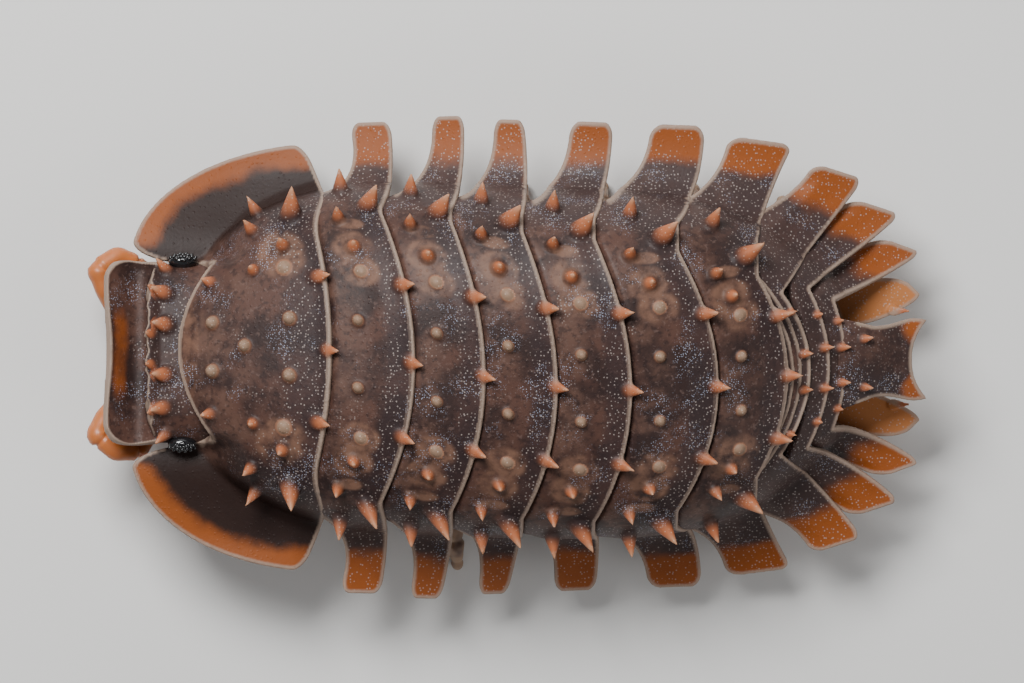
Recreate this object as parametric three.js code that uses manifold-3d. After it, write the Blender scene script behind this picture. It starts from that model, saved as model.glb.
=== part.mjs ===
// A spiny pill woodlouse at life size, as a still model. Millimetres, +Z up, head towards -X.
// The back is a row of arched plates. Each walking-leg segment's plate bears fixed rows of
// spines and knobs, and runs out at each side into a flat lobe, the epimeron.
import * as THREE from "three";
import { mergeVertices } from "three/addons/utils/BufferGeometryUtils.js";
import Module from "manifold-3d";

const wasm = await Module();
wasm.setup();

// Driving dimensions
const GAP = 0.25;
const BASE_Z = 1.8;
const PLATE = 0.5;
const PLATE_TIP = 0.26;
const BACK = { peakX: 0.3, peakZ: 4.45, frontFall: 1.65, frontRun: 7, frontPower: 2.2,
  rearFall: 1.55, rearRun: 5.7, rearPower: 2.6 };
const FLANK = { peakX: 0.8, half: 3.25, frontRun: 7.84, frontPower: 4.8, rearRun: 6.11, rearPower: 3.16 };
const ARCH_POWER = 2.6;
const FLANK_FADE = 4;
// Hind edge of each leg-bearing plate at the midline, and how far it runs forward at the flank
const HIND_EDGE = [-3.38, -1.86, -0.58, 0.73, 2.08, 3.66, 4.94];
const HIND_SWEEP = [0.36, 0.6, 0.6, 0.62, 0.66, 0.72, 0.55];
const SWEEP_REACH = 0.82;
const HEAD_EDGE = { x: -6.2, sweep: -0.51, reach: 1.47, furthest: 1.2 };
const TAIL_EDGE = { x: 5.92, sweep: 0.4, reach: 0.85 };
const TAIL_STEPS = [5.36, 5.7];
// The animal is slightly twisted along its length: degrees of roll, and where the roll changes
const TWIST = { head: -9, middle: 9.5, tail: 0.5, centreZ: 1.6, frontRun: [-5.4, 2], rearRun: [3.5, 7.5] };

const shell = (name, colour, roughness) =>
  new THREE.MeshStandardMaterial({ name, color: colour, roughness, metalness: 0 });
const CUTICLE = shell("cuticle", 0x5a4038, 0.5);
const LIMB = shell("limb", 0xb98a6a, 0.55);
const FEELER = shell("feeler", 0xc46a38, 0.5);
const EYE = shell("eye", 0x0c0b0b, 0.2);

const mix = (a, b, t) => a + (b - a) * t;
const clamp01 = (t) => Math.min(1, Math.max(0, t));
const smooth = (a, b, t) => {
  const s = clamp01((t - a) / (b - a));
  return s * s * (3 - 2 * s);
};

// The back's own surface, in the untwisted body
function backHeight(x) {
  const d = x - BACK.peakX;
  const front = BACK.frontFall * (Math.abs(d) / BACK.frontRun) ** BACK.frontPower;
  const rear = BACK.rearFall * (Math.abs(d) / BACK.rearRun) ** BACK.rearPower;
  return BACK.peakZ - (d < 0 ? front : rear);
}

function halfWidth(x) {
  const d = x - FLANK.peakX;
  const share = d < 0 ? (-d / FLANK.frontRun) ** FLANK.frontPower : (d / FLANK.rearRun) ** FLANK.rearPower;
  return FLANK.half * (1 - Math.min(share, 0.9));
}

function dorsal(x, y) {
  const across = Math.min(Math.abs(y) / halfWidth(x), 1);
  return BASE_Z + (backHeight(x) - BASE_Z) * (1 - across ** ARCH_POWER) ** (1 / ARCH_POWER);
}

function dorsalNormal(x, y) {
  const e = 0.02;
  const dx = (dorsal(x + e, y) - dorsal(x - e, y)) / (2 * e);
  const dy = (dorsal(x, y + e) - dorsal(x, y - e)) / (2 * e);
  return new THREE.Vector3(-dx, -dy, 1).normalize();
}

// Roll of the body about its long axis at x
function rollAt(x) {
  const untwist = (TWIST.tail - TWIST.middle) * smooth(...TWIST.rearRun, x);
  return THREE.MathUtils.degToRad(mix(TWIST.head, TWIST.middle, smooth(...TWIST.frontRun, x)) + untwist);
}

function pose(point) {
  const [x, y, z] = point;
  const [cos, sin] = [Math.cos(rollAt(x)), Math.sin(rollAt(x))];
  const h = z - TWIST.centreZ;
  return [x, y * cos - h * sin, TWIST.centreZ + y * sin + h * cos];
}

// Solids from rings of points
function solidFromRings(rings) {
  const count = rings[0].length;
  const centre = (ring) => [0, 1, 2].map((k) => ring.reduce((sum, p) => sum + p[k], 0) / count);
  const points = [...rings.flat(), centre(rings[0]), centre(rings[rings.length - 1])];
  const triangles = [];
  for (let r = 0; r + 1 < rings.length; r++) {
    for (let i = 0; i < count; i++) {
      const j = (i + 1) % count;
      const a = r * count + i;
      const b = r * count + j;
      triangles.push([a, b, a + count], [b, b + count, a + count]);
    }
  }
  const last = (rings.length - 1) * count;
  for (let i = 0; i < count; i++) {
    const j = (i + 1) % count;
    triangles.push([j, i, points.length - 2], [last + i, last + j, points.length - 1]);
  }
  const volume = triangles.reduce((sum, [a, b, c]) => {
    const [p, q, s] = [a, b, c].map((k) => new THREE.Vector3(...points[k]));
    return sum + p.dot(q.cross(s));
  }, 0);
  const faces = volume < 0 ? triangles.map(([a, b, c]) => [a, c, b]) : triangles;
  return new wasm.Manifold(new wasm.Mesh({
    numProp: 3,
    vertProperties: new Float32Array(points.flat()),
    triVerts: new Uint32Array(faces.flat()),
  }));
}

function solidFromGeometry(geometry) {
  const bare = geometry.clone();
  bare.deleteAttribute("normal");
  bare.deleteAttribute("uv");
  const merged = mergeVertices(bare, 1e-5);
  return new wasm.Manifold(new wasm.Mesh({
    numProp: 3,
    vertProperties: merged.attributes.position.array,
    triVerts: new Uint32Array(merged.index.array),
  }));
}

function ellipsoid(centre, radii, grow = 0) {
  const sphere = new THREE.SphereGeometry(1, 12, 8);
  sphere.scale(radii[0] + grow, radii[1] + grow, radii[2] + grow).translate(...centre);
  return solidFromGeometry(sphere);
}

const fuse = (pieces) => pieces.reduce((all, piece) => all.add(piece));
const largest = (solid) => solid.decompose().reduce((a, b) => (b.volume() > a.volume() ? b : a));

function meshFrom(name, solid, material, placed = pose) {
  const { vertProperties, triVerts, numProp } = largest(solid).getMesh();
  const position = new Float32Array((vertProperties.length / numProp) * 3);
  for (let i = 0; i * numProp < vertProperties.length; i++) {
    position.set(placed(Array.from(vertProperties.subarray(i * numProp, i * numProp + 3))), i * 3);
  }
  const geometry = new THREE.BufferGeometry();
  geometry.setAttribute("position", new THREE.BufferAttribute(position, 3));
  geometry.setIndex(new THREE.BufferAttribute(new Uint32Array(triVerts), 1));
  geometry.computeVertexNormals();
  const mesh = new THREE.Mesh(geometry, material);
  mesh.name = name;
  return mesh;
}

const mirrored = (ring, side) => ring.map(([x, y, z]) => [x, side * y, z]);

// Cross edges of the plates: where each plate starts and ends at a given place across the back
function hindEdge(index, y) {
  if (index < 0) {
    return HEAD_EDGE.x - HEAD_EDGE.sweep * Math.min(HEAD_EDGE.furthest, Math.abs(y) / HEAD_EDGE.reach) ** 2;
  }
  const reach = SWEEP_REACH * halfWidth(HIND_EDGE[index]);
  return HIND_EDGE[index] - HIND_SWEEP[index] * Math.min(1, Math.abs(y) / reach) ** 2;
}

function tailEdge(x, y) {
  return x - TAIL_EDGE.sweep * Math.min(1, Math.abs(y) / (TAIL_EDGE.reach * halfWidth(x))) ** 2;
}

// One arched slab of the back between two cross edges. relief raises or sinks it along its length.
function archedSlab(front, rear, relief) {
  const across = 20;
  const under = 6;
  const rings = relief.map(([f, rise]) => {
    const along = (y) => mix(front(y), rear(y), f);
    let half = halfWidth(along(0));
    for (let k = 0; k < 6; k++) half = halfWidth(along(half));
    const ring = [];
    for (let i = 0; i <= across; i++) {
      const c = Math.cos((Math.PI * i) / across);
      const y = half * Math.sign(c) * Math.abs(c) ** (2 / ARCH_POWER);
      const lift = rise * (1 - (Math.abs(y) / half) ** FLANK_FADE);
      ring.push([along(y), y, dorsal(along(y), y) + lift]);
    }
    for (let i = 1; i < under; i++) {
      const y = mix(-half, half, i / under);
      ring.push([along(y), y, BASE_Z]);
    }
    return ring;
  });
  return solidFromRings(rings);
}

// A flat lobe that runs out from the flank between two curved edges, its front corner rounded
const LOBE_STEPS = [0, 0.22, 0.42, 0.62, 0.8, 0.92, 0.98, 1];
const LOBE = { cornerFrom: 0.8, frontInset: 0.45, rearInset: 0.1, fall: 1.7, bevel: 0.12 };
function lobe({ front, rear, rootZ, tipZ, thick = PLATE }, side) {
  const curve = (points) => new THREE.QuadraticBezierCurve(...points.map((p) => new THREE.Vector2(...p)));
  const [frontCurve, rearCurve] = [curve(front), curve(rear)];
  const rings = LOBE_STEPS.map((s) => {
    const round = 1 - Math.sqrt(1 - 0.98 * clamp01((s - LOBE.cornerFrom) / (1 - LOBE.cornerFrom)) ** 2);
    const [f, r] = [frontCurve.getPoint(s), rearCurve.getPoint(s)];
    const z = tipZ + (rootZ - tipZ) * (1 - s) ** LOBE.fall;
    const half = mix(thick, PLATE_TIP, smooth(0.5, 1, s)) / 2;
    const [start, end] = [LOBE.frontInset * round, 1 - LOBE.rearInset * round];
    const [near, far] = [LOBE.bevel, 1 - LOBE.bevel];
    const outline = [[0, 0], [near, half], [far, half], [1, 0], [far, -half], [near, -half]];
    return outline.map(([u, v]) => {
      const p = f.clone().lerp(r, mix(start, end, u));
      return [p.x, side * p.y, z + v];
    });
  });
  return solidFromRings(rings);
}

// Spines and knobs. Each stands on the back with its root sunk in.
const SPINE_SIDES = 5;
// How wide a spine and a knob are at the sunk root, at mid height and at the top, as shares of the radius
const SPINE_FORM = { depth: 0.16, root: 1.1, midHeight: 0.45, mid: [0.66, 0.9], top: [0.1, 0.45] };
function spine(x, y, plan, surface = dorsal, normal = dorsalNormal) {
  const { length, radius, lean, out = 0, blunt = 0 } = plan;
  const foot = new THREE.Vector3(x, y, surface(x, y));
  const up = normal(x, y).add(new THREE.Vector3(lean, Math.sign(y) * out, 0)).normalize();
  const sideways = new THREE.Vector3(1, 0, 0).cross(up).normalize();
  const along = up.clone().cross(sideways);
  const profile = [[-SPINE_FORM.depth, SPINE_FORM.root * radius],
    [SPINE_FORM.midHeight * length, mix(...SPINE_FORM.mid, blunt) * radius],
    [length, mix(...SPINE_FORM.top, blunt) * radius]];
  const rings = profile.map(([h, r]) =>
    Array.from({ length: SPINE_SIDES }, (_, i) => {
      const a = (2 * Math.PI * i) / SPINE_SIDES;
      const p = foot.clone().addScaledVector(up, h)
        .addScaledVector(sideways, r * Math.cos(a)).addScaledVector(along, r * Math.sin(a));
      return p.toArray();
    }));
  return solidFromRings(rings);
}

// Places are given on a plate of full width: across in mm from the midline, along as a share of the plate
const SPINE_PLAN = [
  { across: 0, along: 0.92, length: 0.4, radius: 0.22, lean: 1.1 },
  { across: 1.39, along: 0.92, length: 0.44, radius: 0.23, lean: 1.1, out: 0.1 },
  { across: 2.72, along: 0.74, length: 0.62, radius: 0.28, lean: 0.55, out: 0.15 },
  { across: 0.62, along: 0.34, length: 0.2, radius: 0.22, lean: 0, blunt: 1 },
  { across: 1.98, along: 0.44, length: 0.28, radius: 0.22, lean: 0.1, blunt: 0.7 },
  { across: 1.54, along: 0.45, length: 0.1, radius: 0.2, lean: 0, blunt: 1 },
  { across: 2.48, along: 0.34, length: 0.42, radius: 0.2, lean: 0.05 },
  { across: 3.0, along: 0.4, length: 0.46, radius: 0.22, lean: 0.1, out: 0.1, onLobe: true },
];
// The first plate is longer and has more of them
const FIRST_SPINES = [
  { x: -3.52, across: 0, length: 0.4, radius: 0.24, lean: 1.1 },
  { x: -3.68, across: 1.32, length: 0.44, radius: 0.25, lean: 1.1 },
  { x: -4.15, across: 2.42, length: 0.66, radius: 0.3, lean: 0.4, out: 0.2 },
  { x: -4.13, across: 0.52, length: 0.22, radius: 0.23, blunt: 1, lean: 0 },
  { x: -4.26, across: 1.85, length: 0.36, radius: 0.24, blunt: 0.5, lean: 0.1 },
  { x: -4.24, across: 1.42, length: 0.1, radius: 0.2, blunt: 1, lean: 0 },
  { x: -4.95, across: 0, length: 0.22, radius: 0.22, blunt: 1, lean: 0 },
  { x: -4.8, across: 1.4, length: 0.28, radius: 0.22, blunt: 0.7, lean: 0 },
  { x: -4.82, across: 2.12, length: 0.4, radius: 0.2, lean: -0.1 },
  { x: -4.75, across: 2.5, length: 0.46, radius: 0.2, lean: -0.1, out: 0.1 },
  { x: -5.54, across: 0.44, length: 0.22, radius: 0.22, blunt: 1, lean: -0.1 },
  { x: -5.55, across: 1.2, length: 0.36, radius: 0.22, lean: -0.6 },
];

const sidesOf = (across) => (across === 0 ? [1] : [1, -1]);

function plateSpines(index) {
  return SPINE_PLAN.flatMap((plan) => {
    const scale = halfWidth(mix(HIND_EDGE[index - 1], HIND_EDGE[index], 0.6)) / FLANK.half;
    const y = plan.across * (plan.onLobe ? scale ** 0.4 : scale);
    const x = mix(hindEdge(index - 1, y), hindEdge(index, y), plan.along);
    const across = Math.min(y, 0.94 * halfWidth(x));
    return sidesOf(y).map((side) => spine(x, side * across, plan));
  });
}

// The lobes of plates 2 to 7: how far out the root lies, the point that bends the front edge and its
// corner at the tip, the same for the rear edge, and how far forward the left one leans at its tip
const LOBE_EDGES = [
  { root: 2.76, front: [[-2.75, 3.1], [-3.1, 4.32]], rear: [[-2.2, 3.2], [-2.33, 4.34]], lean: 0.18 },
  { root: 2.88, front: [[-1.45, 3.15], [-1.53, 4.43]], rear: [[-0.93, 3.3], [-0.98, 4.45]], lean: 0.42 },
  { root: 2.92, front: [[-0.36, 3.15], [-0.44, 4.4]], rear: [[0.25, 3.3], [0.12, 4.4]], lean: 0.3 },
  { root: 2.95, front: [[0.95, 3.15], [0.96, 4.4]], rear: [[1.72, 3.3], [1.75, 4.38]], lean: 0.3 },
  { root: 2.86, front: [[2.4, 3.25], [2.43, 4.36]], rear: [[3.4, 3.15], [3.43, 4.32]], lean: 0.03 },
  { root: 2.44, front: [[3.72, 3.25], [3.86, 4.14]], rear: [[4.68, 3.3], [5.06, 3.94]], lean: 0 },
];

function flankLobe(index, side) {
  const { root, front, rear, lean } = LOBE_EDGES[index - 1];
  const ahead = side < 0 ? lean : 0;
  const leaning = ([[bendX, bendY], [tipX, tipY]]) => [[bendX - 0.5 * ahead, bendY], [tipX - ahead, tipY]];
  return lobe({
    front: [[hindEdge(index - 1, root) + GAP, root - 0.1], ...leaning(front)],
    rear: [[hindEdge(index, root), root - 0.1], ...leaning(rear)],
    rootZ: 2.5, tipZ: 1.5,
  }, side);
}

const PLATE_RELIEF = [[0, -0.12], [0.16, -0.04], [0.5, 0], [0.86, 0.03], [1, 0.08]];

function legPlate(index) {
  const front = (y) => hindEdge(index - 1, y) + GAP;
  const slab = archedSlab(front, (y) => hindEdge(index, y), PLATE_RELIEF);
  const lobes = [1, -1].map((side) => flankLobe(index, side));
  return fuse([slab, ...lobes, ...plateSpines(index)]);
}

// The first plate's side lobes reach forward beside the head, with an elliptical outer edge
const FIRST_LOBE = { centreX: -3.6, innerY: 1.76, innerX: -6.4, curveY: 1.74, runX: 3.49, runY: 2.2,
  outerY: 3.91, cornerX: -3.93, hindX: -3.52, hindY: 2.95, innerZ: 1.97, outerZ: 1.62, thick: 0.4, thin: 0.3 };

function firstLobe(side) {
  const L = FIRST_LOBE;
  const rings = [0, 0.1, 0.2, 0.34, 0.53, 0.73, 0.88, 0.96, 1].map((s) => {
    const y = mix(L.innerY, L.outerY, s);
    const curve = L.centreX - L.runX * Math.sqrt(Math.max(0, 1 - ((y - L.curveY) / L.runY) ** 2));
    const front = mix(L.innerX, curve, Math.sqrt(clamp01(s / 0.1)));
    const rear = mix(L.hindX, L.cornerX, clamp01((y - L.hindY) / (L.outerY - L.hindY)));
    const z = mix(L.innerZ, L.outerZ, smooth(0.1, 1, s));
    const half = mix(L.thick, L.thin, smooth(0.5, 1, s)) / 2;
    const steps = [0, 0.06, 0.3, 0.6, 0.94, 1];
    const top = steps.map((u) => [mix(front, rear, u), y, z + (u === 0 || u === 1 ? 0 : half)]);
    const bottom = steps.slice(1, -1).reverse().map((u) => [mix(front, rear, u), y, z - half]);
    return [...top, ...bottom];
  });
  return solidFromRings(rings.map((ring) => mirrored(ring, side)));
}

function firstPlate() {
  const slab = archedSlab((y) => hindEdge(-1, y), (y) => hindEdge(0, y),
    [[0, -0.06], [0.06, 0], [0.2, 0], [0.45, 0], [0.75, 0], [0.92, 0.03], [1, 0.08]]);
  const spines = FIRST_SPINES.flatMap(({ x, across, ...plan }) =>
    sidesOf(across).map((side) => spine(x, side * across, plan)));
  return fuse([slab, firstLobe(1), firstLobe(-1), ...spines]);
}

// The head: a short vertex behind a crest of teeth, a broad shield in front, and mouthparts below
const HEAD = { crestX: -6.74, crestBow: 0.12, half: 1.6, top: 2.98 };
const SHIELD = { front: -7.5, bendX: -7, rear: -6.6, half: 1.68, z: 2.28, corner: 0.42,
  cornerFrom: 0.76, rise: 0.34 };
const MOUTH = { centre: [-6.82, 0, 1.68], radii: [0.5, 0.8, 0.45] };
const EYES = { x: -6.2, y: 1.58, z: 2.42, radii: [0.27, 0.2, 0.2], socket: 0.2 };

function headTop(x, y) {
  const across = Math.min(1, Math.abs(y) / HEAD.half);
  return BASE_Z + (HEAD.top - BASE_Z) * (1 - across ** 3) ** (1 / 2.4);
}

const headNormal = (x, y) => new THREE.Vector3(-0.25, 0.35 * y, 1).normalize();

function headVertex() {
  const across = 16;
  const under = 6;
  const rings = [0, 0.3, 0.7, 1].map((f) => {
    const front = (y) => HEAD.crestX + HEAD.crestBow * (y / HEAD.half) ** 2;
    const rear = (y) => hindEdge(-1, y) - GAP;
    const ring = [];
    for (let i = 0; i <= across; i++) {
      const c = Math.cos((Math.PI * i) / across);
      const y = HEAD.half * Math.sign(c) * Math.abs(c) ** 0.8;
      ring.push([mix(front(y), rear(y), f), y, headTop(0, y) - (f === 0 ? 0.05 : 0)]);
    }
    for (let i = 1; i < under; i++) {
      const y = mix(-HEAD.half, HEAD.half, i / under);
      ring.push([mix(front(y), rear(y), f), y, BASE_Z]);
    }
    return ring;
  });
  return solidFromRings(rings);
}

function headShield() {
  const rings = [-1, -0.97, -0.88, -0.6, -0.2, 0.2, 0.6, 0.88, 0.97, 1].map((u) => {
    const rounding = clamp01((Math.abs(u) - SHIELD.cornerFrom) / (1 - SHIELD.cornerFrom));
    const front = SHIELD.front + SHIELD.corner * (1 - Math.sqrt(1 - rounding ** 2)) + 0.05 * u * u;
    const outline = [[front, SHIELD.rise, 0], [front + 0.08, 0.3, 0.15], [SHIELD.bendX, 0.1, 0.22],
      [SHIELD.rear, 0, 0.25], [SHIELD.rear, 0, -0.25], [SHIELD.bendX, 0.1, -0.25], [front + 0.08, 0.3, -0.13]];
    return outline.map(([x, rise, v]) => [x, SHIELD.half * u, SHIELD.z + rise + v]);
  });
  return solidFromRings(rings);
}

const HEAD_SPINES = [
  { x: -6.46, across: 0.46, length: 0.3, radius: 0.2, lean: -0.8 },
  { x: -6.46, across: 1.03, length: 0.3, radius: 0.2, lean: -0.8 },
  { x: -6.4, across: 1.42, length: 0.3, radius: 0.17, lean: -0.8, out: 0.3 },
  { x: -6.66, across: 0.26, length: 0.16, radius: 0.14, lean: -1.2 },
  { x: -6.66, across: 0.75, length: 0.16, radius: 0.14, lean: -1.2 },
  { x: -6.62, across: 1.2, length: 0.16, radius: 0.14, lean: -1.2 },
];

function head() {
  const mouth = ellipsoid(MOUTH.centre, MOUTH.radii);
  const teeth = HEAD_SPINES.flatMap(({ x, across, ...plan }) =>
    sidesOf(across).map((side) => spine(x, side * across, plan, headTop, headNormal)));
  const whole = fuse([headVertex(), headShield(), mouth, ...teeth]);
  const sockets = [1, -1].map((side) => ellipsoid([EYES.x, side * EYES.y, EYES.z], EYES.radii, EYES.socket));
  return sockets.reduce((solid, socket) => solid.subtract(socket), whole);
}

// The pleon: five short plates, of which the last three have long lobes turned backward
const TAIL_LOBES = [
  { tipZ: 1.9, front: [[4.82, 1.75], [4.6, 2.95], [5.42, 3.62]], rear: [[4.95, 1.4], [5.6, 2.35], [6.36, 3.3]] },
  { tipZ: 1.78, front: [[5.0, 1.5], [5.3, 2.4], [6.18, 2.93]], rear: [[5.32, 1.2], [6.32, 2.0], [7.04, 2.64]] },
  { tipZ: 1.7, front: [[5.4, 1.1], [5.85, 1.85], [6.72, 2.2]], rear: [[5.62, 0.8], [6.45, 1.3], [7.44, 1.93]] },
].map((plan) => ({ rootZ: 2.4, ...plan }));

const TAIL_SPINES = [
  { x: 5.2, across: 0.3, length: 0.3, radius: 0.16, lean: 1 },
  { x: 5.58, across: 0.34, length: 0.3, radius: 0.16, lean: 1 },
  { x: 5.9, across: 0.31, length: 0.26, radius: 0.15, lean: 1 },
  { x: 4.95, across: 1.1, length: 0.24, radius: 0.14, lean: 1 },
  { x: 5.34, across: 1.06, length: 0.24, radius: 0.14, lean: 1 },
  { x: 5.82, across: 0.8, length: 0.2, radius: 0.13, lean: 1 },
];

function pleon() {
  const from = HIND_EDGE[6] + GAP;
  const to = TAIL_EDGE.x;
  const step = (x) => (x - from) / (to - from);
  const steps = TAIL_STEPS.flatMap((x) => [[step(x) - 0.02, 0.05], [step(x) + 0.03, -0.07]]);
  const relief = [[0, -0.12], ...steps, [1, 0.04]];
  const slab = archedSlab((y) => hindEdge(6, y) + GAP, (y) => tailEdge(to, y), relief);
  const lobes = TAIL_LOBES.flatMap((plan) => [lobe(plan, 1), lobe(plan, -1)]);
  const spines = TAIL_SPINES.flatMap(({ x, across, ...plan }) =>
    sidesOf(across).map((side) => spine(x, side * across, plan)));
  return fuse([slab, ...lobes, ...spines]);
}

// The telson: an hourglass plate with a hollowed hind edge and two points
const TELSON = { start: 6.17, end: 7.22, tipRun: 0.28, base: 0.74, waist: 0.64, fan: 0.78, tip: 0.71,
  startZ: 2.78, endZ: 2.18, thin: 0.3 };
const TELSON_SPINE = { x: 6.42, across: 0.36, length: 0.24, radius: 0.14, lean: 1 };
const telsonSlope = (x) => clamp01((x - TELSON.start) / (TELSON.end + TELSON.tipRun - TELSON.start));
const telsonTop = (x) => mix(TELSON.startZ, TELSON.endZ, telsonSlope(x));
const telsonNormal = () => new THREE.Vector3(0.3, 0, 1).normalize();

function telson() {
  const stations = [0, 0.15, 0.35, 0.6, 0.8, 0.93, 1];
  const rings = stations.map((s) => {
    const half = s < 0.35
      ? mix(TELSON.base, TELSON.waist, smooth(0, 0.35, s))
      : mix(TELSON.waist, TELSON.fan, smooth(0.35, 0.8, s)) - (TELSON.fan - TELSON.tip) * smooth(0.8, 1, s);
    const thick = mix(PLATE, TELSON.thin, s);
    const across = [-1, -0.8, -0.4, 0, 0.4, 0.8, 1];
    const place = (u, drop) => {
      const x = mix(TELSON.start, TELSON.end, s) + TELSON.tipRun * s ** 3 * u * u;
      return [x, half * u, telsonTop(x) - 0.12 * u * u - drop];
    };
    const top = across.map((u) => place(u, Math.abs(u) === 1 ? thick / 2 : 0));
    const bottom = across.slice(1, -1).reverse().map((u) => place(u, thick));
    return [...top, ...bottom];
  });
  const { x, across: apart, ...plan } = TELSON_SPINE;
  const teeth = [1, -1].map((side) => spine(x, side * apart, plan, telsonTop, telsonNormal));
  return fuse([solidFromRings(rings), ...teeth]);
}

// The flat side branches beside the telson
const UROPOD = { rootZ: 1.36, tipZ: 1.3, thick: 0.44,
  front: [[5.95, 1.1], [6.4, 1.42], [7.15, 1.42]], rear: [[6.05, 0.62], [6.6, 0.55], [7.43, 1.12]] };

// Legs: seven pairs of tapering tubes with a knee and a flat foot on the floor
const LEG_SIDES = 8;
const LEG = { rootY: 1.35, thighZ: 1.2, kneeY: 2.3, kneeZ: 0.98, shinY: 2.85, shinZ: 0.52, footY: 3.15,
  ankleZ: 0.2, radii: [0.29, 0.27, 0.26, 0.27, 0.25, 0.24, 0.18, 0.16] };
const LEG_X = [-4.75, -2.75, -1.3, 0, 1.25, 2.7, 4.1];
const FOOT_SHIFT = [-0.75, -0.4, -0.15, 0.1, 0.35, 0.6, 0.85];
// In the photo's pose one foot of the left side reaches out between two lobes
const OUTSTRETCHED = { leg: 2, shift: 0.2, footY: 3.95 };

function tube(points, radii, firstAcross, lastAcross) {
  const rings = points.map((p, i) => {
    const before = points[Math.max(0, i - 1)];
    const after = points[Math.min(points.length - 1, i + 1)];
    let tangent = after.clone().sub(before).normalize();
    if (i === 0 && firstAcross) tangent = firstAcross;
    if (i === points.length - 1 && lastAcross) tangent = lastAcross;
    const u = new THREE.Vector3(1, 0, 0).addScaledVector(tangent, -tangent.x).normalize();
    const w = tangent.clone().cross(u);
    return Array.from({ length: LEG_SIDES }, (_, k) => {
      const a = (2 * Math.PI * (k + 0.5)) / LEG_SIDES;
      return p.clone().addScaledVector(u, radii[i] * Math.cos(a))
        .addScaledVector(w, radii[i] * Math.sin(a)).toArray();
    });
  });
  return solidFromRings(rings);
}

function leg(index, side) {
  const stretched = side < 0 && index === OUTSTRETCHED.leg;
  const x = LEG_X[index];
  const shift = stretched ? OUTSTRETCHED.shift : FOOT_SHIFT[index];
  const narrow = halfWidth(x) / FLANK.half;
  const footY = stretched ? OUTSTRETCHED.footY : LEG.footY * mix(1, narrow, 0.6);
  const spread = footY / LEG.footY;
  const rootY = LEG.rootY * narrow;
  // follow says how far a point keeps to the rolled body. The feet stay on the floor.
  const point = (px, py, pz, follow) => {
    const rise = follow * side * py * Math.sin(rollAt(px));
    return new THREE.Vector3(px, side * py, pz + rise);
  };
  const points = [
    point(x, rootY, BASE_Z - GAP, 1),
    point(x, rootY + 0.03, BASE_Z - GAP - 0.14, 1),
    point(x + 0.15 * shift, mix(rootY, LEG.kneeY * spread, 0.45), LEG.thighZ, 1),
    point(x + 0.4 * shift, LEG.kneeY * spread, LEG.kneeZ, 0.9),
    point(x + 0.55 * shift, LEG.kneeY * spread + 0.22, LEG.kneeZ - 0.16, 0.7),
    point(x + 0.8 * shift, LEG.shinY * spread, LEG.shinZ, 0.2),
    point(x + 0.95 * shift, footY - 0.04, LEG.ankleZ, 0),
    point(x + shift, footY, 0, 0),
  ];
  const down = new THREE.Vector3(0, 0, -1);
  return tube(points, LEG.radii, down, down);
}

// Antennae: elbowed feelers that show in front of the shield. The right one reaches out further.
const ANTENNA = [[-6.6, 1.06, 1.05, 0.24], [-6.95, 1.66, 1.45, 0.25], [-7.35, 1.72, 1.64, 0.25],
  [-7.68, 1.44, 1.7, 0.25], [-7.58, 1.12, 1.62, 0.24], [-7.34, 0.78, 1.34, 0.22], [-7.2, 0.56, 1.1, 0.12]];
const ELBOW = { first: 2, last: 4, reach: 0.13 };

function antenna(side) {
  const points = ANTENNA.map(([x, y, z], i) => {
    const out = side > 0 && i >= ELBOW.first && i <= ELBOW.last ? ELBOW.reach : 0;
    return new THREE.Vector3(...pose([x, side * (y + out), z]));
  });
  return tube(points, ANTENNA.map((row) => row[3]));
}

// Assembly. The animal's left is -Y.
const woodlouse = new THREE.Group();
const unposed = (p) => p;
const sideName = (side) => (side < 0 ? "left" : "right");

woodlouse.add(meshFrom("head", head(), CUTICLE));
woodlouse.add(meshFrom("pereonite_1", firstPlate(), CUTICLE));
for (let index = 1; index < HIND_EDGE.length; index++) {
  woodlouse.add(meshFrom(`pereonite_${index + 1}`, legPlate(index), CUTICLE));
}
woodlouse.add(meshFrom("pleon", pleon(), CUTICLE));
woodlouse.add(meshFrom("telson", telson(), CUTICLE));
for (const side of [-1, 1]) {
  const word = sideName(side);
  woodlouse.add(meshFrom(`eye_${word}`, ellipsoid([EYES.x, side * EYES.y, EYES.z], EYES.radii), EYE));
  woodlouse.add(meshFrom(`antenna_${word}`, antenna(side), FEELER, unposed));
  woodlouse.add(meshFrom(`uropod_${word}`, lobe(UROPOD, side), CUTICLE));
  for (let index = 0; index < LEG_X.length; index++) {
    woodlouse.add(meshFrom(`leg_${word}_${index + 1}`, leg(index, side), LIMB, unposed));
  }
}

// The origin is the middle of the footprint's box, on the floor
const box = new THREE.Box3().setFromObject(woodlouse);
woodlouse.position.set(-(box.min.x + box.max.x) / 2, -(box.min.y + box.max.y) / 2, -box.min.z);

export default woodlouse;
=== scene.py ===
import bpy
import math
import numpy as np
from mathutils import Matrix, Vector
from mathutils.kdtree import KDTree


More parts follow.
